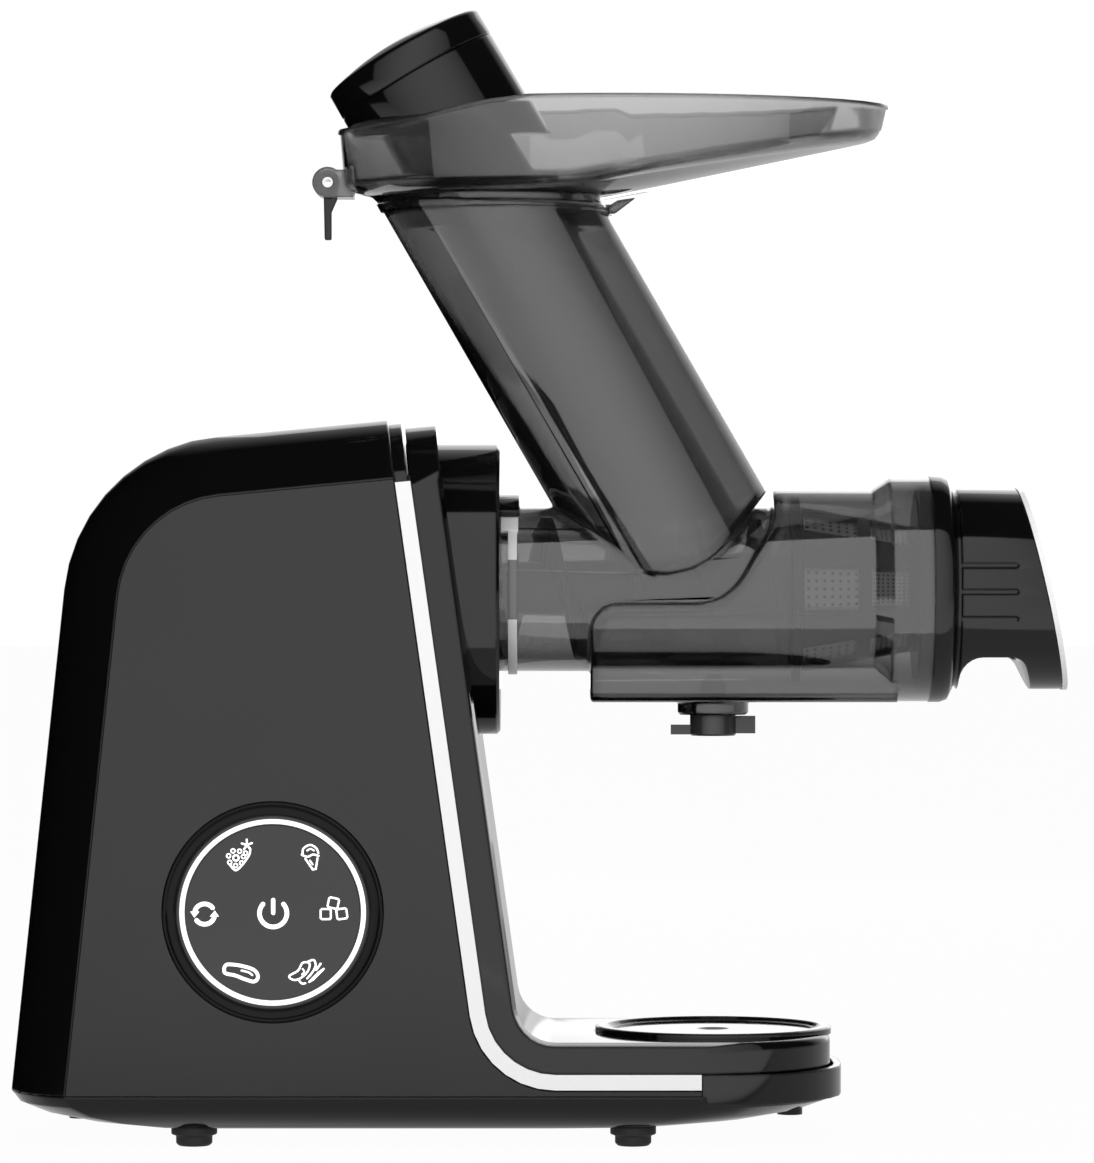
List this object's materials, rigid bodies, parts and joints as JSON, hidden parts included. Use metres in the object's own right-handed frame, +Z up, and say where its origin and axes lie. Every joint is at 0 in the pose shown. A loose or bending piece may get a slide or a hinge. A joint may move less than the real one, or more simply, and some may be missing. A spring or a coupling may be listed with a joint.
{
  "type": "cold press juicer",
  "caption": "Horizontal slow juicer: motor tower with a foot for the glass, bayonet drum with auger and strainer, leaning feed chute with pusher, oval hopper and pulp nozzle.",
  "frame": {"origin": "middle of the footprint of the whole object, on the surface that its feet stand on", "axes": "+X along the drive axis from the motor to the pulp nozzle, -Y out of the side with the control panel, +Z up"},
  "size_m": [0.3825, 0.122, 0.4102],
  "materials": {
    "base_black": "fine matt moulding",
    "gloss_black": "polished",
    "side_grey": "satin",
    "trim_silver": "silver paint",
    "ring_silver": "bright moulding",
    "light_white": "frosted light guide",
    "touch_black": "glassy",
    "foot_rubber": "matt",
    "seal_grey": "silicone",
    "steel": "ground",
    "screen_steel": "perforated sheet",
    "cast_alloy": "as cast",
    "lamination": "varnished laminations",
    "copper": "enamelled copper",
    "bronze": "sintered bronze",
    "gear_white": "nylon",
    "board_green": "solder resist",
    "auger_black": "tough moulding",
    "clear_smoke": "smoky clear plastic"
  },
  "bodies": {
    "base": {"base_plate": "base_black", "base_screws": "steel", "foot_back_left": "foot_rubber", "foot_back_right": "foot_rubber", "foot_front_left": "foot_rubber", "foot_front_right": "foot_rubber", "rear_housing": "gloss_black", "front_cover": "gloss_black", "trim_carrier": "gloss_black", "control_side_cover": "side_grey", "plain_side_cover": "side_grey", "trim_strip_left": "trim_silver", "trim_strip_right": "trim_silver", "glass_rest": "gloss_black", "cord_gland": "foot_rubber", "panel_bezel": "gloss_black", "panel_light_ring": "light_white", "touch_glass": "touch_black", "control_board": "board_green", "power_board": "board_green", "drum_collar": "gloss_black", "interlock_switch": "base_black", "gearbox_case": "cast_alloy", "gearbox_cover": "cast_alloy", "gearbox_screws": "steel", "motor_stack": "lamination", "motor_windings": "copper", "motor_front_frame": "cast_alloy", "motor_rear_frame": "cast_alloy", "motor_bearings": "steel", "output_bearing": "bronze", "button_spring": "steel"},
    "rotor": {"motor_rotor": "lamination", "motor_shaft": "steel", "cooling_fan": "base_black", "motor_pinion": "steel"},
    "lay_gear": {"layshaft_gear": "gear_white", "layshaft": "steel"},
    "auger_drive": {"output_gear": "gear_white", "output_shaft": "steel", "auger": "auger_black", "auger_shaft": "steel"},
    "button": {"release_button": "gloss_black"},
    "drum_assembly": {"drum": "clear_smoke", "drum_lock_ring": "ring_silver", "drum_seal": "seal_grey", "strainer_frame": "auger_black", "strainer_screen": "screen_steel"},
    "nozzle": {"nozzle_cap": "gloss_black", "nozzle_face": "trim_silver", "auger_tip_bush": "bronze"},
    "valve": {"drip_valve": "gloss_black", "valve_seal": "seal_grey"},
    "hopper_assembly": {"hopper": "clear_smoke", "latch_pin": "steel"},
    "latch": {"latch_lever": "gloss_black"},
    "pusher": {"pusher_body": "gloss_black", "pusher_lid": "gloss_black"}
  },
  "joints": [
    {"name": "motor_spin", "type": "hinge", "parent": "base", "child": "rotor", "pos_m": [-0.106, 0, 0.199], "axis": [1, 0, 0], "continuous": true},
    {"name": "lay_spin", "type": "hinge", "parent": "base", "child": "lay_gear", "pos_m": [-0.06, 0, 0.166], "axis": [1, 0, 0], "continuous": true},
    {"name": "auger_spin", "type": "hinge", "parent": "base", "child": "auger_drive", "pos_m": [0.05, 0, 0.199], "axis": [1, 0, 0], "continuous": true},
    {"name": "button_press", "type": "slide", "parent": "base", "child": "button", "axis": [-1, 0, 0], "range_m": [0, 0.004], "stiffness_N_per_m": 400, "springref_m": -0.002, "deforming": ["button_spring"]},
    {"name": "drum_twist", "type": "hinge", "parent": "base", "child": "drum_assembly", "pos_m": [-0.01506, 0, 0.199], "axis": [1, 0, 0], "range_deg": [0, 35]},
    {"name": "nozzle_twist", "type": "hinge", "parent": "drum_assembly", "child": "nozzle", "pos_m": [0.14084, 0, 0.199], "axis": [1, 0, 0], "range_deg": [0, 40]},
    {"name": "valve_turn", "type": "hinge", "parent": "drum_assembly", "child": "valve", "pos_m": [0.06254, 0, 0.15], "axis": [0, 0, 1], "range_deg": [0, 90]},
    {"name": "hopper_lift", "type": "slide", "parent": "drum_assembly", "child": "hopper_assembly", "axis": [-0.5, 0, 0.866], "range_m": [0, 0.06]},
    {"name": "latch_swing", "type": "hinge", "parent": "hopper_assembly", "child": "latch", "pos_m": [-0.07789, 0, 0.347], "axis": [0, 1, 0], "range_deg": [-20, 100]},
    {"name": "pusher_slide", "type": "slide", "parent": "hopper_assembly", "child": "pusher", "axis": [-0.5, 0, 0.866], "range_m": [0, 0.17]}
  ],
  "couplings": [
    {"joint": "lay_spin", "follows": "motor_spin", "ratio": -0.22222},
    {"joint": "auger_spin", "follows": "motor_spin", "ratio": 0.049383}
  ]
}
